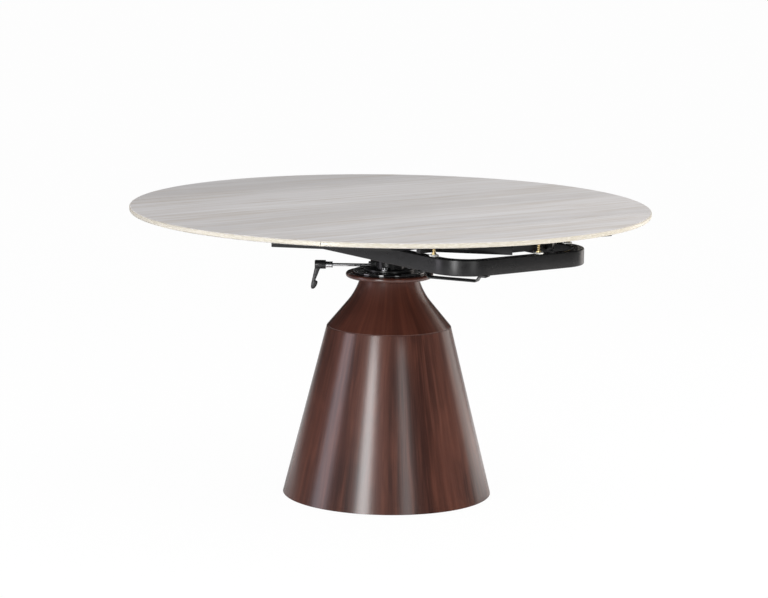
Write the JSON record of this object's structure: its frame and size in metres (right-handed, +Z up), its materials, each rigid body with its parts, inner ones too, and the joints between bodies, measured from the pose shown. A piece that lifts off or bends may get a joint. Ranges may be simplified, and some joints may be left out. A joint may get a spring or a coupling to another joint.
{
  "type": "round dining table",
  "caption": "Round stone-topped dining table on a walnut cone pedestal: the top turns on a hub, a clamp lever holds it, and two leaves lift off a steel loop.",
  "frame": {"origin": "centre of the footprint on the floor, under the spindle", "axes": "+Z up, +X along the two seams of the top, -Y towards the near leaf, the one at the front right of the picture"},
  "size_m": [1.35, 1.35, 0.76],
  "materials": {
    "stone": "honed to a satin, straight fine veins along the seams",
    "black_board": "fibre board sprayed matte black",
    "satin_black_steel": "satin black powder coat",
    "gloss_black_steel": "gloss black enamel",
    "walnut_veneer": "dark reddish walnut veneer, upright grain, satin lacquer",
    "plywood": "raw birch plywood, hidden",
    "turned_steel": "turned steel, oiled",
    "bright_steel": "bright zinc plating",
    "black_screw_steel": "blackened screws",
    "brass": "yellow passivated steel or brass",
    "bearing_plastic": "moulded bearing polymer",
    "white_nylon": "natural white nylon",
    "black_nylon": "black nylon",
    "black_lever_plastic": "moulded black polymer, fine satin"
  },
  "bodies": {
    "pedestal": {"cone_shell": "walnut_veneer", "shoulder_board": "plywood", "base_ring": "plywood", "ballast_plate": "satin_black_steel", "ballast_screws": "black_screw_steel", "floor_glides": "black_nylon", "column_foot": "satin_black_steel", "foot_bolts": "bright_steel", "column_tube": "satin_black_steel", "neck": "walnut_veneer", "neck_cap": "walnut_veneer", "top_flange": "gloss_black_steel", "flange_screws": "black_screw_steel", "hub_housing": "satin_black_steel", "hub_bolts": "bright_steel", "upper_bush": "bearing_plastic", "lower_bush": "bearing_plastic", "hub_plate": "satin_black_steel", "clamp_block": "satin_black_steel", "block_screws": "bright_steel", "clamp_pad": "brass", "support_loop": "satin_black_steel", "crossbars": "satin_black_steel", "corner_straps": "satin_black_steel", "bearing_plate": "satin_black_steel", "thrust_washer": "white_nylon"},
    "table_top": {"middle_slab": "stone", "middle_board": "black_board", "middle_frame": "satin_black_steel", "cross_rails": "satin_black_steel", "carrier_plate": "satin_black_steel", "carrier_screws": "black_screw_steel", "spindle": "turned_steel", "retaining_ring": "turned_steel", "near_fixed_hinges": "satin_black_steel", "far_fixed_hinges": "satin_black_steel", "near_hinge_pins": "turned_steel", "far_hinge_pins": "turned_steel", "fixed_hinge_screws": "black_screw_steel"},
    "near_leaf": {"near_slab": "stone", "near_board": "black_board", "near_frame": "satin_black_steel", "near_leaf_hinges": "satin_black_steel", "near_hinge_screws": "black_screw_steel", "near_glide_feet": "white_nylon", "near_glide_studs": "brass", "near_lock_nuts": "brass"},
    "far_leaf": {"far_slab": "stone", "far_board": "black_board", "far_frame": "satin_black_steel", "far_leaf_hinges": "satin_black_steel", "far_hinge_screws": "black_screw_steel", "far_glide_feet": "white_nylon", "far_glide_studs": "brass", "far_lock_nuts": "brass"},
    "clamp_shaft": {"clamp_rod": "bright_steel", "stop_ring": "black_screw_steel", "lever_insert": "bright_steel", "lever_screw": "bright_steel"},
    "lever": {"lever_grip": "black_lever_plastic"}
  },
  "joints": [
    {"name": "top_turn", "type": "hinge", "parent": "pedestal", "child": "table_top", "pos_m": [0, 0, 0.7], "axis": [0, 0, 1], "range_deg": [0, 90]},
    {"name": "near_leaf_lift", "type": "hinge", "parent": "table_top", "child": "near_leaf", "pos_m": [0, -0.43, 0.744], "axis": [-1, 0, 0], "range_deg": [0, 4]},
    {"name": "far_leaf_lift", "type": "hinge", "parent": "table_top", "child": "far_leaf", "pos_m": [0, 0.43, 0.744], "axis": [1, 0, 0], "range_deg": [0, 4]},
    {"name": "clamp_turn", "type": "hinge", "parent": "pedestal", "child": "clamp_shaft", "pos_m": [-0.13395, 0.09804, 0.6045], "axis": [-0.807, 0.5906, 0], "range_deg": [0, 180]},
    {"name": "lever_lift", "type": "slide", "parent": "clamp_shaft", "child": "lever", "axis": [-0.807, 0.5906, 0], "range_m": [0, 0.004], "stiffness_N_per_m": 500}
  ]
}
